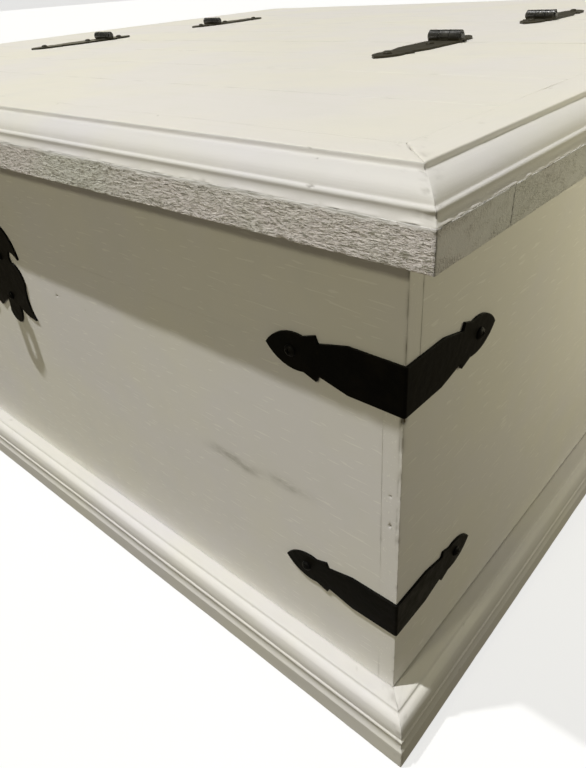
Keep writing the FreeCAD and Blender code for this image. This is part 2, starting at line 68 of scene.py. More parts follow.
# ---- sizes taken from the frame ----
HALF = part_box("front_wall_upper_board")[1].x          # the walls' outer faces
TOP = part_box("centre_boards")[1].z                    # upper face of the lids
PANEL_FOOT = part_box("centre_boards")[0].z             # foot of the mouldings round the lids
LID_EDGE = -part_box("front_lid_boards")[1].y           # where a lid ends at the seam
CENTRE_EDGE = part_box("centre_boards")[1].y
PANEL_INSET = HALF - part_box("front_lid_boards")[1].x  # from the lid boards' ends to the walls
RIM_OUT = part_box("front_lid_rim_right")[1].x - HALF   # how far the rim stands out from the walls
BASE_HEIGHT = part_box("base_moulding_front")[1].z
BASE_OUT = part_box("base_moulding_front")[1].x - HALF


# ---- noise for the shapes ----

# Large odd numbers that tell neighbouring cells apart and scatter their values. Every use of the
# noise below has a seed of its own, so the result is the same each time.
CELL_STEPS = (374761393, 668265263, 1103515245)
SCATTER = 1274126177


def value_noise(points, seed):
    """Smooth noise from -1 to 1 at (n, 3) points, with cells one unit wide."""
    cell = np.floor(points).astype(np.int64)
    t = points - cell
    t = t * t * (3 - 2 * t)
    total = np.zeros(len(points))
    for corner in itertools.product((0, 1), repeat=3):
        c = cell + np.array(corner)
        h = sum(c[:, axis] * CELL_STEPS[axis] for axis in range(3)) + seed * SCATTER
        h = (h ^ (h >> 13)) * SCATTER
        h = h ^ (h >> 16)
        value = (h & 0xFFFF) / 32767.5 - 1
        total += value * np.prod(np.where(corner, t, 1 - t), axis=1)
    return total


def fractal(points, sizes, seed, octaves=3):
    """Noise with features of the given sizes along x, y and z, in metres, or one size for all."""
    scaled = points / np.array(sizes)
    total = np.zeros(len(points))
    for i in range(octaves):
        total += value_noise(scaled * 2 ** i, seed + i) / 2 ** i
    return total


# ---- mesh building ----

WELD = 2e-6                  # corners closer than this in a CAD mesh are one corner


def add_piece(name, points, faces, material, attributes=None):
    """A smooth-shaded mesh object with float attributes on its points."""
    mesh = bpy.data.meshes.new(name)
    mesh.from_pydata(points.tolist(), [], faces)
    bm = bmesh.new()
    bm.from_mesh(mesh)
    bmesh.ops.recalc_face_normals(bm, faces=bm.faces)
    bm.to_mesh(mesh)
    bm.free()
    mesh.shade_smooth()
    for key, values in (attributes or {}).items():
        layer = mesh.attributes.new(key, "FLOAT", "POINT")
        layer.data.foreach_set("value", np.asarray(values, np.float32))
    mesh.materials.append(material)
    piece = bpy.data.objects.new(name, mesh)
    bpy.context.scene.collection.objects.link(piece)
    return piece


def stand_in(piece, node):
    """The piece takes the place of a CAD node, on the node's body."""
    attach(piece, frame["nodes"][node]["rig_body"])
    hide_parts(node)


def solids_of(node):
    """The (lowest, highest) corners of each separate solid in a CAD node."""
    bm = bmesh.new()
    bm.from_mesh(frame["nodes"][node].data)
    bmesh.ops.remove_doubles(bm, verts=bm.verts, dist=WELD)
    seen, boxes = set(), []
    for first in bm.verts:
        if first in seen:
            continue
        seen.add(first)
        stack, found = [first], []
        while stack:
            vert = stack.pop()
            found.append(vert.co[:])
            for edge in vert.link_edges:
                other = edge.other_vert(vert)
                if other not in seen:
                    seen.add(other)
                    stack.append(other)
        found = np.array(found)
        boxes.append((found.min(0), found.max(0)))
    bm.free()
    return boxes


ARRIS_LINES = np.array([0.001, 0.0022, 0.004])       # extra lines beside an arris of a wide face
COARSE_CELL = 0.004          # cells wider than this need those lines
WIDE_FACE = 0.02
CURVE_LINES = np.array([0, 0.35, 0.7])               # lines across a rounded arris, in radii
SUPPORT = 0.0001             # a line this close holds the end of the rounding
CLOSEST = 0.0002             # no other two lines are closer than this
MARK_LINES = np.linspace(-1.5, 1.5, 9)               # lines round a dent, in radii


def lattice_lines(low, high, cell, radius, marks):
    """Lines from low to high: close ones round each arris and each mark, even ones between."""
    count = max(2, round((high - low - 2 * radius) / cell) + 1)
    inner = [np.linspace(low + radius, high - radius, count)]
    if cell > COARSE_CELL and high - low > WIDE_FACE:
        inner += [low + radius + ARRIS_LINES, high - radius - ARRIS_LINES]
    for centre, reach in marks:
        around = centre + reach * MARK_LINES
        inner.append(around[(around > low + radius) & (around < high - radius)])
    inner = np.unique(np.round(np.concatenate(inner), 5))
    inner = inner[np.append(np.diff(inner) > CLOSEST, True)]
    inner = np.concatenate([[low + radius, low + radius + SUPPORT], inner[1:-1],
                            [high - radius - SUPPORT, high - radius]])
    curve = radius * CURVE_LINES
    return np.concatenate([low + curve, inner, (high - curve)[::-1]])


def rounded_box(low, high, cells, radii, places=()):
    """Points, outward directions and quads of a box with rounded arrises, finer at the places."""
    lines = []
    for axis in range(3):
        marks = [(centre[axis], reach) for centre, reach, _ in places
                 if all(a - reach <= c <= b + reach for a, c, b in zip(low, centre, high))]
        lines.append(lattice_lines(low[axis], high[axis], cells[axis], radii[axis], marks))
    grid = np.stack(np.meshgrid(*lines, indexing="ij"), -1)
    surface = np.zeros(grid.shape[:3], bool)
    for axis in range(3):
        for end in (0, -1):
            take = [slice(None)] * 3
            take[axis] = end
            surface[tuple(take)] = True
    index = np.full(surface.shape, -1)
    index[surface] = np.arange(surface.sum())
    points = grid[surface]
    radii = np.array(radii)
    core = np.clip(points, np.array(low) + radii, np.array(high) - radii)
    out = (points - core) / radii
    out /= np.linalg.norm(out, axis=1)[:, None]
    quads = []
    for axis in range(3):
        for end in (0, -1):
            side = np.take(index, end, axis=axis)
            quad = np.stack([side[:-1, :-1], side[1:, :-1], side[1:, 1:], side[:-1, 1:]], -1)
            quads.append(quad.reshape(-1, 4))
    return core + out * radii, out, np.concatenate(quads).tolist()


DENT_RAGS = (0.0015, 0.0009, 0.0009)                 # size of the raggedness of a dent's outline


def dent(points, places):
    """How deep each point is pushed in by ragged dents, given as (centre, radius, depth)."""
    depth = np.zeros(len(points))
    if not places:
        return depth
    outline = 1 + 0.4 * fractal(points, DENT_RAGS, 91, 2)
    for centre, radius, deep in places:
        gap = np.linalg.norm(points - np.array(centre), axis=1) / radius
        depth += deep * np.exp(-(gap * outline) ** 2 * 1.5)
    return depth


def arris_gap(points, low, high, flush=None):
    """Distance from the nearest arris of a box, for points on its faces.

    Along a flush axis the box meets its neighbour with no visible arris.
    """
    gaps = np.minimum(points - np.array(low), np.array(high) - points)
    if flush is not None:
        gaps[:, flush] = 1.0
    return np.sort(gaps, axis=1)[:, 1]


# ---- node materials ----

class Finish:
    """Builds one node material out of short calls. A value is a number, a colour or an output."""

    def __init__(self, name):
        self.material = bpy.data.materials.new(name)
        self.material.use_nodes = True
        self.tree = self.material.node_tree
        self.tree.nodes.clear()
        output = self.tree.nodes.new("ShaderNodeOutputMaterial")
        self.shader = self.tree.nodes.new("ShaderNodeBsdfPrincipled")
        self.tree.links.new(self.shader.outputs[0], output.inputs["Surface"])
        self.place = self.tree.nodes.new("ShaderNodeTexCoord").outputs["Object"]

    def feed(self, socket, value):
        if isinstance(value, bpy.types.NodeSocket):
            self.tree.links.new(value, socket)
        elif isinstance(value, (int, float)):
            socket.default_value = value
        else:
            full = list(value)
            if len(socket.default_value) == 4 and len(full) == 3:
                full.append(1.0)
            socket.default_value = full

    def set(self, name, value):
        self.feed(self.shader.inputs[name], value)

    def attribute(self, name):
        node = self.tree.nodes.new("ShaderNodeAttribute")
        node.attribute_name = name
        return node.outputs["Fac"]

    def stretch(self, factors, shift=None):
        """Object coordinates times the factors, which are features per metre."""
        node = self.tree.nodes.new("ShaderNodeVectorMath")
        node.operation = "MULTIPLY"
        self.feed(node.inputs[0], self.place)
        self.feed(node.inputs[1], factors)
        if shift is None:
            return node.outputs[0]
        moved = self.tree.nodes.new("ShaderNodeVectorMath")
        moved.operation = "ADD"
        self.feed(moved.inputs[0], node.outputs[0])
        self.feed(moved.inputs[1], shift)
        return moved.outputs[0]

    def height(self):
        node = self.tree.nodes.new("ShaderNodeSeparateXYZ")
        self.feed(node.inputs[0], self.place)
        return node.outputs["Z"]

    def noise(self, vector, detail=2.0, roughness=0.5, distortion=0.0):
        node = self.tree.nodes.new("ShaderNodeTexNoise")
        for key, given in (("Vector", vector), ("Scale", 1.0), ("Detail", detail),
                           ("Roughness", roughness), ("Distortion", distortion)):
            self.feed(node.inputs[key], given)
        return node.outputs["Fac"]

    def cells(self, vector):
        node = self.tree.nodes.new("ShaderNodeTexVoronoi")
        self.feed(node.inputs["Vector"], vector)
        self.feed(node.inputs["Scale"], 1.0)
        return node.outputs["Distance"]

    def span(self, value, low, high, to_low=0.0, to_high=1.0):
        """Maps low..high to to_low..to_high and holds the ends."""
        node = self.tree.nodes.new("ShaderNodeMapRange")
        for key, given in zip(("Value", "From Min", "From Max", "To Min", "To Max"),
                              (value, low, high, to_low, to_high)):
            self.feed(node.inputs[key], given)
        return node.outputs["Result"]

    def math(self, operation, a, b=0.0):
        node = self.tree.nodes.new("ShaderNodeMath")
        node.operation = operation
        self.feed(node.inputs[0], a)
        self.feed(node.inputs[1], b)
        return node.outputs[0]

    def mix(self, factor, a, b, blend="MIX"):
        node = self.tree.nodes.new("ShaderNodeMix")
        node.data_type = "RGBA"
        node.blend_type = blend
        for key, given in (("Factor", factor), ("A", a), ("B", b)):
            self.feed(node.inputs[key], given)
        return next(s for s in node.outputs if s.type == "RGBA")

    def times(self, colour, tint):
        """The colour multiplied by a tint."""
        return self.mix(1.0, colour, tint, "MULTIPLY")

    def bump(self, height, distance, under=None):
        """A bump whose full height is the distance, in metres."""
        node = self.tree.nodes.new("ShaderNodeBump")
        self.feed(node.inputs["Height"], height)
        self.feed(node.inputs["Distance"], distance)
        if under is not None:
            self.feed(node.inputs["Normal"], under)
        return node.outputs["Normal"]


CREAM = (0.84, 0.83, 0.79)                           # paint on the top
WHITE = (0.83, 0.83, 0.825)                          # paint on the walls
MOULDING_WHITE = (0.735, 0.735, 0.735)
RIM_WHITE = (0.99, 0.99, 0.955)
BARE_WOOD = (0.50, 0.48, 0.42)                       # weathered wood between the paint on the rim
# grime, and also the colour of the painted shade on the base's flat ledge
GRIME_AND_SHADE = (0.095, 0.075, 0.045)
RIM_GRIME = (0.07, 0.06, 0.04)
PINE_GRIME = (0.10, 0.06, 0.03)
PIT_BROWN = (0.36, 0.32, 0.25)
SCRATCH_WHITE = (1.0, 0.99, 0.95)
STAIN_GREY = (0.30, 0.29, 0.25)
PINE_LIGHT = (0.56, 0.375, 0.19)
PINE_DARK = (0.42, 0.235, 0.095)
PINE_PORE = (0.30, 0.16, 0.06)
PINE_KNOT = (0.13, 0.055, 0.02)
# painted sheen on the upper faces of the iron on the lids, and painted reflection on the tops of
# the hinge barrels
STRAP_SHEEN_BROWN = (0.070, 0.064, 0.046)
BARREL_REFLECTION_GREY = (0.018, 0.018, 0.017)
IRON_BLACK = (0.0020, 0.0020, 0.0020)
IRON_WORN = (0.0060, 0.0052, 0.0036)
SCREW_BLACK = (0.0040, 0.0040, 0.0040)
SCREW_WORN = (0.012, 0.011, 0.009)


def along_across(axis, along, across):
    """One value for the axis that the grain runs along, and another for the two across it."""
    values = [across] * 3
    values[axis] = along
    return values


def paint(name, axis, colour, brush, grain, scratches=0.0):
    """Brushed oil paint over planed pine, with the grain along an axis.

    brush is the height of the brush marks and grain that of the wood showing through, and
    scratches the strength of pale scratches along the grain. Points may carry dirt (on the
    base's ledge, painted shade), a creamier coat, a stain where the grain shows dark, and a tone
    per board.
    """
    f = Finish(name)
    shift = f.math("MULTIPLY", f.attribute("tone"), 37.0)
    wood = f.noise(f.stretch(along_across(axis, 5, 120), shift), 4.0, 0.6, 0.5)
    stroke = f.noise(f.stretch(along_across(axis, 16, 480), shift), 3.0, 0.6)
    cloud = f.noise(f.stretch((7, 7, 7)), 3.0, 0.55)
    blotch = f.noise(f.stretch((31, 31, 31)), 2.0, 0.5)
    speck = f.noise(f.stretch((700, 700, 700)), 2.0, 0.5)
    base = f.mix(f.attribute("cream"), colour, CREAM)
    pinkish = f.times(base, (0.965, 0.945, 0.955))
    warm = f.times(base, (0.985, 0.965, 0.915))
    dull = f.times(base, (0.93, 0.92, 0.90))
    base = f.mix(f.span(cloud, 0.40, 0.60), pinkish, warm)
    base = f.mix(f.span(blotch, 0.50, 0.80, 0.0, 0.5), base, dull)
    base = f.mix(f.span(wood, 0.58, 0.78, 0.0, 0.5), base, dull)
    base = f.mix(f.span(stroke, 0.58, 0.78, 0.0, 0.25), base, dull)
    pits = f.span(f.cells(f.stretch(along_across(axis, 34, 90), shift)), 0.02, 0.045, 1.0, 0.0)
    pits = f.math("MULTIPLY", pits, f.span(blotch, 0.60, 0.63))
    base = f.mix(f.math("MULTIPLY", pits, 0.5), base, PIT_BROWN)
    if scratches:
        scratch = f.noise(f.stretch(along_across(axis, 75, 620), shift), 0.0, 0.5)
        scratch = f.span(scratch, 0.735, 0.765, 0.0, scratches)
        base = f.mix(scratch, base, SCRATCH_WHITE)
    smear = f.noise(f.stretch(along_across(axis, 60, 170), shift), 3.0, 0.6)
    smear = f.math("MULTIPLY", f.attribute("stain"), f.span(smear, 0.30, 0.66, 0.0, 0.62))
    base = f.mix(smear, base, STAIN_GREY)
    # dirt, and painted shade on the base's flat ledge
    base = f.mix(f.attribute("dirt_and_shade"), base, GRIME_AND_SHADE)
    f.set("Base Color", base)
    f.set("Roughness", f.span(stroke, 0.3, 0.7, 0.50, 0.64))
    f.set("Specular IOR Level", 0.3)
    rough = f.bump(wood, grain)
    rough = f.bump(stroke, brush, rough)
    rough = f.bump(speck, 0.00005, rough)
    f.set("Normal", f.bump(f.math("MULTIPLY", pits, -1.0), 0.0003, rough))
    return f.material


def sawn(name, axis):
    """Rough-sawn pine under thin paint: torn fibres along the grain, and hollows in painted shade.

    Points may carry dirt, and a coat where the moulding's thicker paint runs on.
    """
    f = Finish(name)
    coat = f.attribute("coat")
    fibre = f.noise(f.stretch(along_across(axis, 285, 880)), 3.0, 0.65, 0.2)
    torn = f.noise(f.stretch(along_across(axis, 135, 470)), 3.0, 0.6, 0.2)
    cloud = f.noise(f.stretch((22, 22, 22)), 3.0, 0.6)
    tint = f.noise(f.stretch((9, 9, 9)), 2.0, 0.5)
    grit = f.noise(f.stretch((1700, 1700, 1700)), 2.0, 0.6)
    pits = f.cells(f.stretch(along_across(axis, 240, 520)))
    rough_here = f.span(coat, 0.15, 0.85, 1.0, 0.0)
    bare = f.math("MULTIPLY", f.span(fibre, 0.52, 0.60), f.span(torn, 0.38, 0.54, 0.4, 1.0))
    bare = f.math("MULTIPLY", bare, rough_here)
    # painted shade: the hollows between the fibres are coloured as darkened bare wood
    hollow = f.math("MULTIPLY", f.span(pits, 0.10, 0.20, 0.8, 0.0), f.span(cloud, 0.50, 0.62))
    hollow = f.math("MULTIPLY", hollow, rough_here)
    pinkish = f.times(RIM_WHITE, (0.97, 0.915, 0.935))
    greyish = f.times(RIM_WHITE, (0.90, 0.90, 0.865))
    base = f.mix(f.span(tint, 0.44, 0.56), greyish, pinkish)
    base = f.mix(f.span(cloud, 0.45, 0.66, 0.0, 0.45), base, greyish)
    base = f.mix(bare, base, BARE_WOOD)
    # painted shade in the hollows
    base = f.mix(hollow, base, [channel * 0.55 for channel in BARE_WOOD])
    base = f.mix(coat, base, MOULDING_WHITE)
    base = f.mix(f.attribute("dirt_and_shade"), base, RIM_GRIME)
    f.set("Base Color", base)
    f.set("Roughness", 0.82)
    f.set("Specular IOR Level", 0.2)
    rough = f.bump(f.math("MULTIPLY", f.span(torn, 0.3, 0.7), rough_here), 0.0006)
    rough = f.bump(f.math("MULTIPLY", f.span(fibre, 0.34, 0.66), rough_here), 0.0009, rough)
    f.set("Normal", f.bump(grit, 0.0002, rough))
    return f.material


def pine(name, axis):
    """Bare planed pine with growth rings, pores and small knots."""
    f = Finish(name)
    shift = f.math("MULTIPLY", f.attribute("tone"), 23.0)
    wobble = f.noise(f.stretch(along_across(axis, 2.2, 9), shift), 2.0, 0.5, 0.4)
    rings = f.math("SINE", f.math("MULTIPLY", wobble, 95.0))
    fibre = f.noise(f.stretch(along_across(axis, 18, 650), shift), 3.0, 0.6)
    knot = f.span(f.cells(f.stretch(along_across(axis, 3.4, 8.0), shift)), 0.03, 0.10, 1.0, 0.0)
    base = f.mix(f.span(rings, -0.4, 1.0), PINE_LIGHT, PINE_DARK)
    base = f.mix(f.span(fibre, 0.5, 0.8, 0.0, 0.4), base, PINE_PORE)
    base = f.mix(f.math("MULTIPLY", knot, 0.85), base, PINE_KNOT)
    base = f.mix(f.attribute("dirt_and_shade"), base, PINE_GRIME)
    f.set("Base Color", base)
    f.set("Roughness", f.span(rings, -1.0, 1.0, 0.62, 0.5))
    f.set("Specular IOR Level", 0.3)
    rough = f.bump(rings, 0.00012)
    f.set("Normal", f.bump(fibre, 0.00025, rough))
    return f.material


def iron(name, colour, worn, roughness):
    """Blackened iron: fine pitting, a hammered skin and browner patches.

    The upper faces of the iron on the lids are painted olive-brown as a painted sheen, and the
    hinge barrels are rubbed shiny, with their tops painted lighter grey as a painted reflection.
    """
    f = Finish(name)
    patch = f.noise(f.stretch((70, 70, 70)), 4.0, 0.6)
    pit = f.noise(f.stretch((900, 900, 900)), 3.0, 0.6)
    hammer = f.noise(f.stretch((150, 150, 150)), 1.0, 0.4)
    strap = f.span(f.height(), TOP, TOP + 0.0008)
    barrel = f.span(f.height(), TOP + 0.0035, TOP + 0.0050)
    # painted sheen: the upper faces of the iron on the lids are painted browner
    strap_sheen = f.math("MULTIPLY", strap, f.span(patch, 0.3, 0.7, 0.6, 1.0))
    # painted reflection: the tops of the hinge barrels are painted lighter grey
    barrel_reflection = f.math("MULTIPLY", barrel, f.span(patch, 0.3, 0.7, 1.0, 0.7))
    base = f.mix(f.span(patch, 0.45, 0.70), colour, worn)
    base = f.mix(strap_sheen, base, STRAP_SHEEN_BROWN)
    base = f.mix(barrel_reflection, base, BARREL_REFLECTION_GREY)
    base = f.mix(f.span(pit, 0.62, 0.74, 0.0, 0.5), base, [channel * 1.6 for channel in worn])
    dull = f.span(patch, 0.35, 0.7, roughness, roughness + 0.16)
    f.set("Base Color", base)
    f.set("Specular IOR Level", f.span(barrel, 0.0, 1.0, 0.08, 0.8))
    f.set("Roughness", f.math("SUBTRACT", dull, f.math("MULTIPLY", barrel, 0.12)))
    f.set("Normal", f.bump(pit, 0.00006, f.bump(hammer, 0.00025)))
    return f.material


AXES = ("x", "y", "z")                               # the axis that the grain runs along
TOP_PAINT = [paint(f"top_paint_{letter}", axis, CREAM, brush=0.00006, grain=0.00012)
             for axis, letter in enumerate(AXES)]
WALL_PAINT = [paint(f"wall_paint_{letter}", axis, WHITE, brush=0.00005, grain=0.00012,
                    scratches=0.4) for axis, letter in enumerate(AXES)]
MOULDING_PAINT = [paint(f"moulding_paint_{letter}", axis, MOULDING_WHITE, brush=0.00006,
                        grain=0.00008) for axis, letter in enumerate(AXES)]
RIM_PAINT = [sawn(f"rim_paint_{letter}", axis) for axis, letter in enumerate(AXES)]
PINE = [pine(f"inner_pine_{letter}", axis) for axis, letter in enumerate(AXES)]
IRON = iron("black_iron", IRON_BLACK, IRON_WORN, roughness=0.33)
SCREW_IRON = iron("iron_screws", SCREW_BLACK, SCREW_WORN, roughness=0.34)


# ---- boards ----

WAVE_ALONG = 0.34            # size of a board's slow waves along the grain
WAVE_ACROSS = 0.11
PATCH_SIZE = 0.020           # of the dirty patches on the arrises
CHIP_SIZE = 0.009
CHIP_REACH = 0.0012          # how far from an arris the chips die away
CHIP_DEPTH = 0.0008
LINE_WIDTH = 0.0005          # of the dark line along an arris


def board(node, slot, paints, axis, cells, radii, wobble, places=(), stains=(), line=0.5,
          flush=None):
    """Every board of a CAD node as its own slightly uneven board with soft arrises.

    wobble is how uneven it is, places are dents, stains are (centre, half sizes) of dark grain,
    and line is how dark the arrises are.
    """
    boxes = solids_of(node)
    for i, (low, high) in enumerate(boxes):
        points, out, quads = rounded_box(low, high, cells, radii, places)
        waves = fractal(points, along_across(axis, WAVE_ALONG, WAVE_ACROSS), len(slot), 2)
        depth = dent(points, places)
        gap = arris_gap(points, low, high, flush)
        patch = np.clip(fractal(points, PATCH_SIZE, 5, 2) + 0.3, 0, 1)
        chips = np.clip(fractal(points, CHIP_SIZE, 8 + i, 2) - 0.75, 0, 1)
        chips *= np.exp(-gap / CHIP_REACH)
        tone = value_noise(np.array([[i * 3.7, len(node) * 1.3, 0.5]]), 11)[0]
        split, bared = frayed_arris(points)
        dirt_and_shade = np.clip(depth / 0.0010, 0, 1) * 0.7 + np.clip(chips, 0, 0.4)
        dirt_and_shade += line * patch * np.exp(-gap / LINE_WIDTH) + bared
        stain = np.zeros(len(points))
        for centre, half in stains:
            stain += np.exp(-np.sum(((points - np.array(centre)) / np.array(half)) ** 2, axis=1))
        lift = waves * wobble - split - depth - chips * CHIP_DEPTH
        name = node + ("_finish" if len(boxes) == 1 else f"_finish_{i + 1}")
        piece = add_piece(name, points + out * lift[:, None], quads, paints[axis],
                          {"tone": np.full(len(points), tone), "dirt_and_shade": np.clip(dirt_and_shade, 0, 1),
                           "stain": np.clip(stain, 0, 1)})
        stand_in(piece, node)


FRAY_FOOT = 0.200            # the right front arris is split from here up to the upper bracket
FRAY_HEAD = 0.317
CRACK_FOOT = 0.348           # above that bracket the paint on the arris is cracked


def frayed_arris(points):
    """How deep and how dark the split and the cracks are that run down the right front arris.

    Below the upper bracket the arris is ragged, a crack sways up the front 2 mm in from it, and
    a short slit opens just under the bracket. Above the bracket the paint is only cracked.
    """
    aside = HALF - points[:, 0]
    back = points[:, 1] + HALF
    from_arris = np.hypot(aside, back)
    below = np.clip((points[:, 2] - FRAY_FOOT) / 0.05, 0, 1) * (points[:, 2] < FRAY_HEAD)
    above = points[:, 2] > CRACK_FOOT
    tear = fractal(points, (0.006, 0.006, 0.0065), 71, 3)
    ragged = np.exp(-from_arris / 0.0011) * np.clip(tear + 0.4, 0, 1.3)
    sway = 0.0020 + 0.0006 * fractal(points, (1, 1, 0.016), 75, 2)
    crack = np.exp(-((aside - sway) / 0.00035) ** 2) * (back < 0.0009) * np.clip(tear + 0.7, 0, 1)
    slit = np.exp(-((aside - 0.0008) / 0.0012) ** 2)
    slit = slit * (points[:, 2] > FRAY_HEAD - 0.0075) * (back < 0.003)
    depth = below * (ragged * 0.0010 + crack * 0.0004 + slit * 0.0018)
    dark = below * (ragged * 0.30 + crack * 0.55 + slit)
    dark += above * np.exp(-from_arris / 0.0006) * np.clip(tear * 0.5 + 0.35, 0, 0.6)
    return depth, dark


RIM_CELLS = (0.0013, 0.006, 0.0009)                  # along the grain, across it and upwards
RIM_RADII = (0.0003, 0.0003, 0.0005)
TORN_SIZE = (0.006, 0.0025)                          # torn fibres, along and across the grain
SLOW_SIZE = (0.050, 0.012)                           # slow unevenness, along and across
SAWN_PROUD = 0.0001          # the torn faces stand this far out of the CAD board
TORN_HEIGHT = 0.00014
SLOW_HEIGHT = 0.00012
NIBBLE_DEPTH = 0.0007        # of the bites out of an arris
COAT_THICK = 0.0003          # of the moulding's paint where it runs over the rim
COAT_BAND = 0.0022
COAT_EDGE = 0.0005           # how softly that paint ends


def rough_rim(node, axis):
    """A rough-sawn rim board: torn fibres on every face and a ragged lower arris.

    The moulding's paint runs over its upper edge and hides the joint. The paint is thicker on the
    trunk's two ends and over end grain.
    """
    (low, high), = solids_of(node)
    cells = along_across(axis, RIM_CELLS[0], RIM_CELLS[1])
    cells[2] = RIM_CELLS[2]
    points, out, quads = rounded_box(low, high, cells, RIM_RADII)
    torn = fractal(points, along_across(axis, *TORN_SIZE), 13, 2)
    slow = fractal(points, along_across(axis, *SLOW_SIZE), 23, 2)
    ragged = np.clip(fractal(points, along_across(axis, *TORN_SIZE), 33, 2) - 0.1, 0, 1)
    ragged *= np.exp(-arris_gap(points, low, high) / 0.0010)
    below_top = high[2] - points[:, 2]
    near_top = np.exp(-(below_top / COAT_BAND) ** 2)
    sides = SAWN_PROUD + torn * TORN_HEIGHT + slow * SLOW_HEIGHT - ragged * NIBBLE_DEPTH
    sides = sides * (1 - near_top) + near_top * (COAT_THICK + torn * 0.0001)
    level = np.abs(out[:, 2]) > 0.6
    lift = np.where(level, -0.0001 - ragged * 0.0004, sides)
    away_x = np.minimum(points[:, 0] - low[0], high[0] - points[:, 0])
    away_y = np.minimum(points[:, 1] - low[1], high[1] - points[:, 1])
    at_corner = (np.abs(points[:, 0]) > HALF + 0.02) & (np.abs(points[:, 1]) > HALF + 0.02)
    upright_arris = np.exp(-np.hypot(away_x, away_y) / 0.0005) * at_corner
    dirt_and_shade = ragged * 0.3 + upright_arris * 0.7
    run_down = 0.0013 + 0.0012 * slow + 0.0008 * torn
    coat = 1 / (1 + np.exp((below_top - run_down) / COAT_EDGE))
    thick_paint = (np.abs(out[:, axis]) > 0.7) | (np.abs(out[:, 0]) > 0.7)
    coat = np.maximum(coat, thick_paint * np.clip(0.62 + 0.25 * slow + 0.2 * torn, 0, 0.9))
    piece = add_piece(node + "_finish", points + out * lift[:, None], quads, RIM_PAINT[axis],
                      {"dirt_and_shade": np.clip(dirt_and_shade, 0, 1), "coat": coat})
    stand_in(piece, node)


# ---- mouldings ----

def arc_points(a, b, c, step):
    """Points on the arc from a through b to c, without the last one."""
    (ax, ay), (bx, by), (cx, cy) = a, b, c
    d = 2 * (ax * (by - cy) + bx * (cy - ay) + cx * (ay - by))
    ux = ((ax * ax + ay * ay) * (by - cy) + (bx * bx + by * by) * (cy - ay)
          + (cx * cx + cy * cy) * (ay - by)) / d
    uy = ((ax * ax + ay * ay) * (cx - bx) + (bx * bx + by * by) * (ax - cx)
          + (cx * cx + cy * cy) * (bx - ax)) / d
    radius = math.hypot(ax - ux, ay - uy)
    start, middle, end = (math.atan2(y - uy, x - ux) for x, y in (a, b, c))
    turn = (end - start) % math.tau
    if (middle - start) % math.tau > turn:
        turn -= math.tau
    count = max(3, round(abs(turn) * radius / step))
    angles = [start + turn * i / count for i in range(count)]
    return [(ux + radius * math.cos(t), uy + radius * math.sin(t)) for t in angles]


def profile_points(edges):
    """A closed profile from (step, points) edges: two points make a line, three an arc."""
    made = []
    for step, given in edges:
        if len(given) == 3:
            made += arc_points(*given, step)
        else:
            (ax, ay), (bx, by) = given
            count = max(1, round(math.hypot(bx - ax, by - ay) / step))
            made += [(ax + (bx - ax) * i / count, ay + (by - ay) * i / count) for i in range(count)]
    return np.array(made)


FINE = 0.0006                # steps between the points of a profile, on its curves and small edges
BAND = 0.002                 # on the flat band of the base
FLAT = 0.003                 # on the flat tops
COARSE = 0.006               # where it is hidden


def lid_profile():
    """Flat top, hollow fillet, ovolo, bead and cove that flares out over the rim: (out, height)."""
    top = TOP
    back_foot = (-PANEL_INSET, PANEL_FOOT)
    back_side = (-PANEL_INSET, top - 0.001)
    back_top = (-PANEL_INSET, top)
    flat_start = (-PANEL_INSET + 0.002, top)
    flat_end = (0.0105, top)
    edge = (0.0125, top)
    edge_foot = (0.0128, top - 0.0005)
    fillet_foot = (0.0129, top - 0.0025)
    hollow = (0.0133, top - 0.0032)
    quirk = (0.0145, top - 0.0036)
    ovolo_shoulder = (0.0188, top - 0.0047)
    ovolo_turn = (0.0228, top - 0.0070)
    ovolo_waist = (0.0251, top - 0.0094)
    ovolo_foot = (0.0267, top - 0.0126)
    bead_top = (0.0281, top - 0.0129)
    bead_out = (0.0287, top - 0.0137)
    bead_foot = (0.0287, top - 0.0142)
    cove_top = (0.0286, top - 0.0147)
    cove_waist = (0.0290, top - 0.0174)
    lip = (RIM_OUT + 0.0001, top - 0.0193)
    lip_foot = (RIM_OUT + 0.0001, PANEL_FOOT)
    under = (0.0290, PANEL_FOOT)
    return profile_points([
        (COARSE, (back_foot, back_side)),
        (FINE, (back_side, back_top)),
        (FINE, (back_top, flat_start)),
        (FLAT, (flat_start, flat_end)),
        (FINE, (flat_end, edge)),
        (FINE, (edge, edge_foot)),
        (FINE, (edge_foot, fillet_foot)),
        (FINE, (fillet_foot, hollow, quirk)),
        (FINE, (quirk, ovolo_shoulder, ovolo_turn)),
        (FINE, (ovolo_turn, ovolo_waist, ovolo_foot)),
        (FINE, (ovolo_foot, bead_top, bead_out)),
        (FINE, (bead_out, bead_foot)),
        (FINE, (bead_foot, cove_top)),
        (FINE, (cove_top, cove_waist, lip)),
        (FINE, (lip, lip_foot)),
        (FINE, (lip_foot, under)),
        (COARSE, (under, back_foot)),
    ])


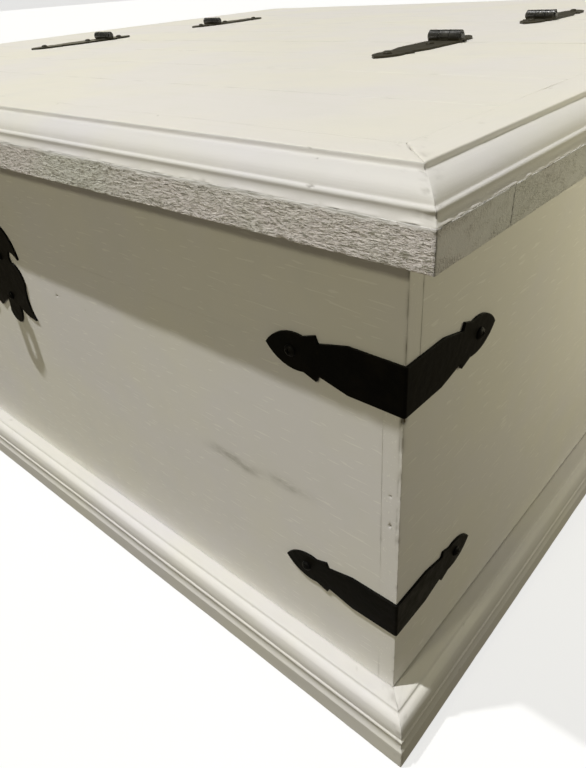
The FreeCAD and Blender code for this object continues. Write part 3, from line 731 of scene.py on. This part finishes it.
def base_profile():
    """Ledge, ovolo, bead and cove above a flat band: (out, height)."""
    high = BASE_HEIGHT
    foot_back = (0, 0)
    foot_front = (BASE_OUT - 0.001, 0)
    arris = (BASE_OUT, 0)
    band_foot = (BASE_OUT, 0.001)
    band_head = (BASE_OUT, 0.0196)
    lip = (BASE_OUT, 0.0206)
    cove_waist = (0.0238, 0.0258)
    cove_top = (0.0247, 0.0314)
    bead_out = (0.0248, 0.0326)
    bead_top = (0.0244, 0.0336)
    ovolo_foot = (0.0233, 0.0342)
    ovolo_waist = (0.0229, 0.0412)
    ovolo_turn = (0.0210, 0.0464)
    ovolo_shoulder = (0.0186, 0.0486)
    ovolo_top = (0.0152, 0.0498)
    ledge_edge = (0.0146, high - 0.0016)
    ledge_front = (0.0140, high)
    ledge_back = (0, high)
    return profile_points([
        (COARSE, (foot_back, foot_front)),
        (FINE, (foot_front, arris)),
        (FINE, (arris, band_foot)),
        (BAND, (band_foot, band_head)),
        (FINE, (band_head, lip)),
        (FINE, (lip, cove_waist, cove_top)),
        (FINE, (cove_top, bead_out)),
        (FINE, (bead_out, bead_top, ovolo_foot)),
        (FINE, (ovolo_foot, ovolo_waist, ovolo_turn)),
        (FINE, (ovolo_turn, ovolo_shoulder, ovolo_top)),
        (FINE, (ovolo_top, ledge_edge)),
        (FINE, (ledge_edge, ledge_front)),
        (FLAT, (ledge_front, ledge_back)),
        (COARSE, (ledge_back, foot_back)),
    ])


LONG_STEP = 0.0021           # points further apart than this are on a flat and stay
HIDDEN_BACK = 0.004          # so do points behind this line


def soften(profile):
    """Rounds the profile's corners as layers of paint do, and keeps its long flats and its back."""
    before = np.roll(profile, 1, axis=0)
    after = np.roll(profile, -1, axis=0)
    longest = np.maximum(np.linalg.norm(before - profile, axis=1),
                         np.linalg.norm(after - profile, axis=1))
    rounded = (longest < LONG_STEP) & (profile[:, 0] > HIDDEN_BACK)
    average = profile * 0.5 + (before + after) * 0.25
    return np.where(rounded[:, None], average, profile)


MITRE = None                 # an end that is mitred at the trunk's corner
LEDGE_SHADE = 0.07            # how far the flat ledge of the base is darkened towards grime: painted shade
WAVE_SIZE = (0.11, 0.03, 0.03)                       # slow waves along a moulding
WAVE_HEIGHT = 0.00018
RIPPLE_SIZE = (0.014, 0.006, 0.006)
RIPPLE_HEIGHT = 0.00009
CRUMBLE_SIZE = 0.004         # of the crumbling paint at a mitre
GROOVE_DEPTH = 0.0004        # of the open joint there
GROOVE_WIDTH = 0.0012
GROOVE_FOOT = 0.003          # the joint is closed from the lip up to here
WORN_REACH = 0.005           # how far from a mitre the corner is worn
WORN_DEPTH = 0.0009
EDGE_CHIP_SIZE = (0.011, 0.005, 0.005)
EDGE_CHIP_DEPTH = 0.0016
TOP_BAND = 0.0004            # points this close below the highest one count as the flat top
LIP_BAND = 0.0012            # height of the ragged edge of paint at the lip
LIP_FRONT = 0.029            # it is on what stands out beyond this
LIP_TEAR_SIZE = 0.005
ROW_STEP = 0.002             # between the rows of points along a moulding
END_ROWS = np.array([0.4, 0.8, 1.3])                 # extra rows near each end, in half steps
DENT_ROWS = np.linspace(-1.4, 1.4, 7)                # rows round a dent, in radii
CLOSEST_ROWS = 0.00002


def section_normals(profile):
    """Outward directions at the points of a closed profile."""
    before = np.roll(profile, 1, axis=0)
    after = np.roll(profile, -1, axis=0)
    normal = np.stack([(after - before)[:, 1], -(after - before)[:, 0]], 1)
    normal /= np.linalg.norm(normal, axis=1)[:, None]
    area = np.sum(profile[:, 0] * after[:, 1] - after[:, 0] * profile[:, 1])
    return -normal if area < 0 else normal


def row_places(side, start, length, places):
    """Where a moulding's rows lie, from 0 to 1: closer at its ends and round its dents."""
    rows = max(8, round(length / ROW_STEP))
    ends = 0.5 / rows * END_ROWS
    found = [np.linspace(0, 1, rows + 1), ends, 1 - ends]
    for (x, y, _), radius, _ in places:
        along, out = ((x, -y), (y, x), (-x, y), (-y, -x))[side]
        from_end = along + out if start is MITRE else along - start
        found.append((from_end + radius * DENT_ROWS) / length)
    t = np.sort(np.concatenate(found))
    apart = np.append(True, np.diff(t) > CLOSEST_ROWS / length)
    return t[apart & (t >= 0) & (t <= 1)]


def mitre_gap(along, start, first, end, last):
    """Each point's distance along a moulding from its nearest mitre, 1 m if there is none."""
    gap = np.full(along.size, 1.0)
    if start is MITRE:
        gap = np.minimum(gap, (along - first[None, :]).reshape(-1))
    if end is MITRE:
        gap = np.minimum(gap, (last[None, :] - along).reshape(-1))
    return gap


def strip(profile, side, start, end, places=(), lip=None):
    """Points, quads and attributes of a profile run along a side: 0 front, 1 right, 2 back, 3 left.

    start and end are places along the side, or MITRE. lip is the height of a ragged lower lip.
    """
    count = len(profile)
    normal = section_normals(profile)
    reach = HALF + profile[:, 0]
    first = -reach if start is MITRE else np.full(count, start)
    last = reach if end is MITRE else np.full(count, end)
    t = row_places(side, start, float(np.mean(last - first)), places)
    along = first[None, :] + t[:, None] * (last - first)[None, :]
    out = np.tile(profile[:, 0], len(t))
    height = np.tile(profile[:, 1], len(t))
    out_share = np.tile(normal[:, 0], len(t))
    up_share = np.tile(normal[:, 1], len(t))
    flat = np.stack([along.reshape(-1), out, height], -1)

    seed = 41 + 10 * side + count
    gap = mitre_gap(along, start, first, end, last)
    wave = fractal(flat, WAVE_SIZE, seed, 2) * WAVE_HEIGHT
    ripple = fractal(flat, RIPPLE_SIZE, seed + 3, 2) * RIPPLE_HEIGHT
    crumble = np.clip(fractal(flat, CRUMBLE_SIZE, seed + 7, 2) + 0.55, 0, 1.6)
    groove = np.exp(-(gap / GROOVE_WIDTH) ** 2) * crumble * GROOVE_DEPTH
    if lip is not None:
        groove *= height > lip + GROOVE_FOOT
    worn = np.exp(-gap / WORN_REACH) * np.clip(crumble - 0.9, 0, 1) * WORN_DEPTH
    chips = np.clip(fractal(flat, EDGE_CHIP_SIZE, seed + 9, 2) - 1.12, 0, 1) * EDGE_CHIP_DEPTH
    depth = dent(turned(flat, side), places)
    lift = wave + ripple - groove - worn - chips - depth
    flat[:, 1] += out_share * lift
    flat[:, 2] += up_share * lift

    on_top = height > profile[:, 1].max() - TOP_BAND
    open_joint = np.exp(-(gap / 0.0004) ** 2) * np.clip(crumble - 0.3, 0, 1)
    dirt_and_shade = open_joint * np.where(on_top, 0.6, 0.3)
    dirt_and_shade += np.clip(worn / 0.0008, 0, 0.2) + np.clip(chips / 0.0009, 0, 0.25)
    dirt_and_shade += np.clip(depth / 0.0009, 0, 0.6)
    cream = np.zeros(len(flat))
    if lip is None:
        # the base's flat ledge is darkened: painted shade
        dirt_and_shade += on_top * LEDGE_SHADE
    else:
        cream += on_top
        low = np.exp(-((height - lip) / LIP_BAND) ** 2) * (out > LIP_FRONT)
        tear = fractal(flat, LIP_TEAR_SIZE, seed + 11, 3) * (1 - np.exp(-gap / 0.003))
        flat[:, 2] += low * (tear * 0.0006 - 0.0005)
        flat[:, 1] += low * tear * 0.0002

    row = np.arange(count)
    following = (row + 1) % count
    ring = np.stack([row, following, following + count, row + count], -1)
    quads = [tuple(quad) for i in range(len(t) - 1) for quad in (ring + i * count).tolist()]
    last_row = (len(t) - 1) * count
    quads.append(tuple(range(count)))
    quads.append(tuple(range(last_row, last_row + count)))
    attributes = {"tone": np.full(len(flat), 0.13 * side), "dirt_and_shade": np.clip(dirt_and_shade, 0, 1),
                  "cream": cream}
    return turned(flat, side), quads, attributes


def turned(flat, side):
    """(along, out from the wall, height) points in the frame, for a side of the trunk."""
    along, out, height = flat[:, 0], HALF + flat[:, 1], flat[:, 2]
    x, y = ((along, -out), (out, along), (-along, out), (-out, -along))[side]
    return np.stack([x, y, height], 1)


def moulding(node, profile, side, start, end, places=(), lip=None):
    """One length of moulding in place of a CAD node."""
    points, quads, attributes = strip(profile, side, start, end, places, lip)
    axis = side % 2
    piece = add_piece(node + "_finish", points, quads, MOULDING_PAINT[axis], attributes)
    stand_in(piece, node)


# ---- ironwork ----

SAME_FACE = math.radians(0.6)                        # triangles this close to level are one face
HARD_EDGE = math.radians(35)                         # an edge sharper than this is dressed
PLATE_BEVEL = 0.0004
SCREW_BEVEL = 0.00015


def forged(node, material, bevel):
    """The CAD piece's shape with its hard edges dressed, as filed iron has."""
    bm = bmesh.new()
    bm.from_mesh(frame["nodes"][node].data)
    bmesh.ops.remove_doubles(bm, verts=bm.verts, dist=WELD)
    bmesh.ops.dissolve_limit(bm, angle_limit=SAME_FACE, verts=bm.verts, edges=bm.edges)
    mesh = bpy.data.meshes.new(node + "_finish")
    bm.to_mesh(mesh)
    bm.free()
    mesh.materials.append(material)
    piece = bpy.data.objects.new(node + "_finish", mesh)
    bpy.context.scene.collection.objects.link(piece)
    mesh.shade_smooth()
    edges = piece.modifiers.new("dressed_edges", "BEVEL")
    edges.width = bevel
    edges.segments = 2
    edges.limit_method = "ANGLE"
    edges.angle_limit = HARD_EDGE
    edges.harden_normals = False
    even = piece.modifiers.new("even_faces", "WEIGHTED_NORMAL")
    even.keep_sharp = False
    even.weight = 80
    stand_in(piece, node)


# ---- the trunk ----

# small dents in the front moulding near the right corner: (centre, radius, depth)
NICKS = (
    ((0.4670, -0.5320, 0.4477), 0.0011, 0.0011),
    ((0.4370, -0.5330, 0.4445), 0.0006, 0.0007),
    ((0.4550, -0.5168, 0.4598), 0.0010, 0.0004),
    ((0.4620, -0.5195, 0.4562), 0.0008, 0.0004),
    ((0.4880, -0.5240, 0.4540), 0.0005, 0.0004),
    ((0.5238, -0.5335, 0.4445), 0.0013, 0.0006),
    ((0.5290, -0.5340, 0.4432), 0.0010, 0.0005),
)
# knocks in the front wall
KNOCKS = (
    ((0.1277, -0.5040, 0.2922), 0.0014, 0.0010),
    ((0.4965, -0.5040, 0.2520), 0.0010, 0.0007),
    ((0.4970, -0.5040, 0.2260), 0.0012, 0.0009),
)
# dark grain that shows through the paint on the front wall: (centre, half sizes)
SMEARS = (
    ((0.3400, -0.5040, 0.2090), (0.018, 0.010, 0.0050)),
    ((0.3620, -0.5040, 0.2060), (0.016, 0.010, 0.0042)),
    ((0.4080, -0.5040, 0.2120), (0.018, 0.010, 0.0050)),
)


RIM_BOARDS = (               # with the axis of each board's grain
    ("front_lid_rim_front", 0), ("front_lid_rim_left", 1), ("front_lid_rim_right", 1),
    ("back_lid_rim_back", 0), ("back_lid_rim_left", 1), ("back_lid_rim_right", 1),
    ("centre_rim_left", 1), ("centre_rim_right", 1),
)


def make_top():
    for node in ("front_lid_boards", "back_lid_boards", "centre_boards"):
        board(node, "painted_top", TOP_PAINT, axis=0, cells=(0.006,) * 3,
              radii=(0.0001, 0.0003, 0.0003), wobble=0.00015, line=0.25, flush=0)
    profile = soften(lid_profile())
    for lid, face, side, following, before in (("front_lid", "front", 0, "right", "left"),
                                               ("back_lid", "back", 2, "left", "right")):
        moulding(f"{lid}_moulding_{face}", profile, side, MITRE, MITRE, NICKS, PANEL_FOOT)
        moulding(f"{lid}_moulding_{following}", profile, (side + 1) % 4, MITRE, -LID_EDGE,
                 lip=PANEL_FOOT)
        moulding(f"{lid}_moulding_{before}", profile, (side + 3) % 4, LID_EDGE, MITRE,
                 lip=PANEL_FOOT)
    for face, side in (("right", 1), ("left", 3)):
        moulding(f"centre_moulding_{face}", profile, side, -CENTRE_EDGE, CENTRE_EDGE,
                 lip=PANEL_FOOT)
    for node, axis in RIM_BOARDS:
        rough_rim(node, axis)


def make_body():
    for face, axis in (("front", 0), ("back", 0), ("left", 1), ("right", 1)):
        cells = [0.001, 0.001, 0.003]
        cells[axis] = 0.006
        for part in ("upper", "lower"):
            board(f"{face}_wall_{part}_board", "painted_wall", WALL_PAINT, axis, cells,
                  radii=(0.00025, 0.00025, 0.00002), wobble=0.00022, places=KNOCKS,
                  stains=SMEARS, line=0.30, flush=2)
    profile = soften(base_profile())
    for side, face in enumerate(("front", "right", "back", "left")):
        moulding(f"base_moulding_{face}", profile, side, MITRE, MITRE)


def make_inside():
    for node, axis in (("bottom_boards", 0), ("front_lid_battens", 1), ("back_lid_battens", 1),
                       ("corner_posts", 2)):
        board(node, "inner_pine", PINE, axis, cells=(0.012,) * 3, radii=(0.0012,) * 3,
              wobble=0.0002)
    for node in ("bottom_cleats", "centre_rails"):
        frame["nodes"][node].data.materials.clear()
        frame["nodes"][node].data.materials.append(PINE[0])


def make_ironwork():
    for node in ("hinge_pins", "corner_brackets"):
        forged(node, IRON, PLATE_BEVEL)
    for lid in ("front", "back"):
        for part in ("left_hinge_leaf", "right_hinge_leaf", "left_hinge_strap",
                     "right_hinge_strap", "hasp_plate", "hasp_eye", "hasp_leaf", "hasp_pin",
                     "hasp_strap"):
            forged(f"{lid}_{part}", IRON, PLATE_BEVEL)
    for node in ("body_screws", "front_lid_screws", "back_lid_screws"):
        forged(node, SCREW_IRON, SCREW_BEVEL)


# ---- camera, light and floor ----

CAMERA_PLACE = (0.6543, -0.7493, 0.5285)
CAMERA_YAW = 43.626          # degrees to the left of looking along +Y
CAMERA_PITCH = 33.19         # degrees below the horizon
CAMERA_ROLL = -4.44
CAMERA_LENS = 29.41          # millimetres, for a sensor of 36 mm on the long side


def make_camera():
    yaw, pitch, roll = (math.radians(a) for a in (CAMERA_YAW, CAMERA_PITCH, CAMERA_ROLL))
    forward = Vector((-math.sin(yaw) * math.cos(pitch), math.cos(yaw) * math.cos(pitch),
                      -math.sin(pitch)))
    level = Vector((math.cos(yaw), math.sin(yaw), 0))
    raised = level.cross(forward)
    right = level * math.cos(roll) + raised * math.sin(roll)
    up = raised * math.cos(roll) - level * math.sin(roll)
    data = bpy.data.cameras.new("camera")
    data.lens = CAMERA_LENS
    data.sensor_width = 36.0
    data.clip_start = 0.01
    camera = bpy.data.objects.new("camera", data)
    turn = Matrix((right, up, -forward)).transposed()
    camera.matrix_world = Matrix.Translation(CAMERA_PLACE) @ turn.to_4x4()
    bpy.context.scene.collection.objects.link(camera)
    bpy.context.scene.camera = camera


DAYLIGHT = (1.0, 0.995, 0.98)
WARM = (1.0, 0.94, 0.66)
SUNS = (                     # name, direction of travel, strength, size in degrees, colour
    ("key", (0.233, 0.250, -0.940), 2.62, 1.2, DAYLIGHT),      # makes the shadow under the rim
    ("low", (0.10, 0.825, -0.556), 0.55, 5.0, WARM),           # from in front
    ("level_1", (0.0, -1.0, 0.0), 0.36, 40.0, WARM),           # broad and level, from behind
    ("level_2", (0.90, -0.43, 0.0), 0.36, 40.0, WARM),         # broad and level, from the left
)
PANEL_PLACE = (0.95, 0.06, 0.46)                     # a small panel beside the right-hand end
PANEL_SIZE = 0.3
PANEL_POWER = 1.8                                    # watts
BOUNCE = (0.140, 0.121, 0.080)                       # what comes up off the floor
AROUND = (0.12, 0.116, 0.104)                        # what comes from above and around
BOUNCE_UP_TO = -0.15         # sines of the elevations between which one turns into the other
AROUND_FROM = 0.25


def aim(light, travel):
    """Turns a light so that it shines along a direction."""
    light.rotation_mode = "QUATERNION"
    light.rotation_quaternion = Vector(travel).to_track_quat("-Z", "Y")
    bpy.context.scene.collection.objects.link(light)


def sun(name, travel, strength, size, colour):
    data = bpy.data.lights.new(name, "SUN")
    data.energy = strength
    data.angle = math.radians(size)
    data.color = colour
    aim(bpy.data.objects.new(name, data), travel)


def panel():
    data = bpy.data.lights.new("panel", "AREA")
    data.size = PANEL_SIZE
    data.energy = PANEL_POWER
    data.color = WARM
    light = bpy.data.objects.new("panel", data)
    light.location = PANEL_PLACE
    light.visible_camera = False
    aim(light, (-1, 0, 0))


def surroundings():
    """Soft light from all round, warmer from below."""
    world = bpy.data.worlds.new("studio")
    bpy.context.scene.world = world
    world.use_nodes = True
    tree = world.node_tree
    tree.nodes.clear()
    output = tree.nodes.new("ShaderNodeOutputWorld")
    background = tree.nodes.new("ShaderNodeBackground")
    direction = tree.nodes.new("ShaderNodeTexCoord").outputs["Generated"]
    height = tree.nodes.new("ShaderNodeSeparateXYZ")
    blend = tree.nodes.new("ShaderNodeMapRange")
    blend.interpolation_type = "SMOOTHSTEP"
    blend.inputs["From Min"].default_value = BOUNCE_UP_TO
    blend.inputs["From Max"].default_value = AROUND_FROM
    colours = tree.nodes.new("ShaderNodeMix")
    colours.data_type = "RGBA"
    colours.inputs["A"].default_value = (*BOUNCE, 1)
    colours.inputs["B"].default_value = (*AROUND, 1)
    tree.links.new(direction, height.inputs[0])
    tree.links.new(height.outputs["Z"], blend.inputs["Value"])
    tree.links.new(blend.outputs["Result"], colours.inputs["Factor"])
    mixed = next(socket for socket in colours.outputs if socket.type == "RGBA")
    tree.links.new(mixed, background.inputs["Color"])
    tree.links.new(background.outputs[0], output.inputs[0])


def make_light():
    """A high light from the front left, warm level ones, and light bounced up from the floor."""
    for given in SUNS:
        sun(*given)
    panel()
    surroundings()


FLOOR_REACH = 30.0
FLOOR_SIDES = 48
WALL_HEIGHT = 40.0
FLOOR_DROP = 0.0005          # the floor is this far below the trunk


def make_floor():
    """A plain pale floor with a high wall far away, so that the background is pale too.

    It lights, shades and reflects in nothing: make_light gives the light that it would bounce.
    """
    f = Finish("floor_white")
    mottle = f.noise(f.stretch((3, 3, 3)), 2.0, 0.5)
    f.set("Base Color", f.mix(mottle, (0.24, 0.24, 0.24), (0.27, 0.27, 0.265)))
    f.set("Emission Color", (1.0, 1.0, 0.995))
    f.set("Emission Strength", 0.74)
    f.set("Roughness", 0.9)
    f.set("Specular IOR Level", 0.05)
    count = FLOOR_SIDES
    turns = [math.tau * i / count for i in range(count)]
    ring = [(FLOOR_REACH * math.cos(turn), FLOOR_REACH * math.sin(turn)) for turn in turns]
    points = np.array([(x, y, z) for z in (0.0, WALL_HEIGHT) for x, y in ring])
    faces = [tuple(range(count))]
    faces += [(i, (i + 1) % count, count + (i + 1) % count, count + i) for i in range(count)]
    floor = add_piece("floor", points, faces, f.material)
    floor.data.shade_flat()
    floor.location.z = -FLOOR_DROP
    floor.visible_diffuse = False
    floor.visible_glossy = False
    floor.visible_shadow = False


make_camera()
make_light()
make_floor()
make_body()
make_inside()
make_top()
make_ironwork()

bpy.context.scene.view_settings.view_transform = "Standard"
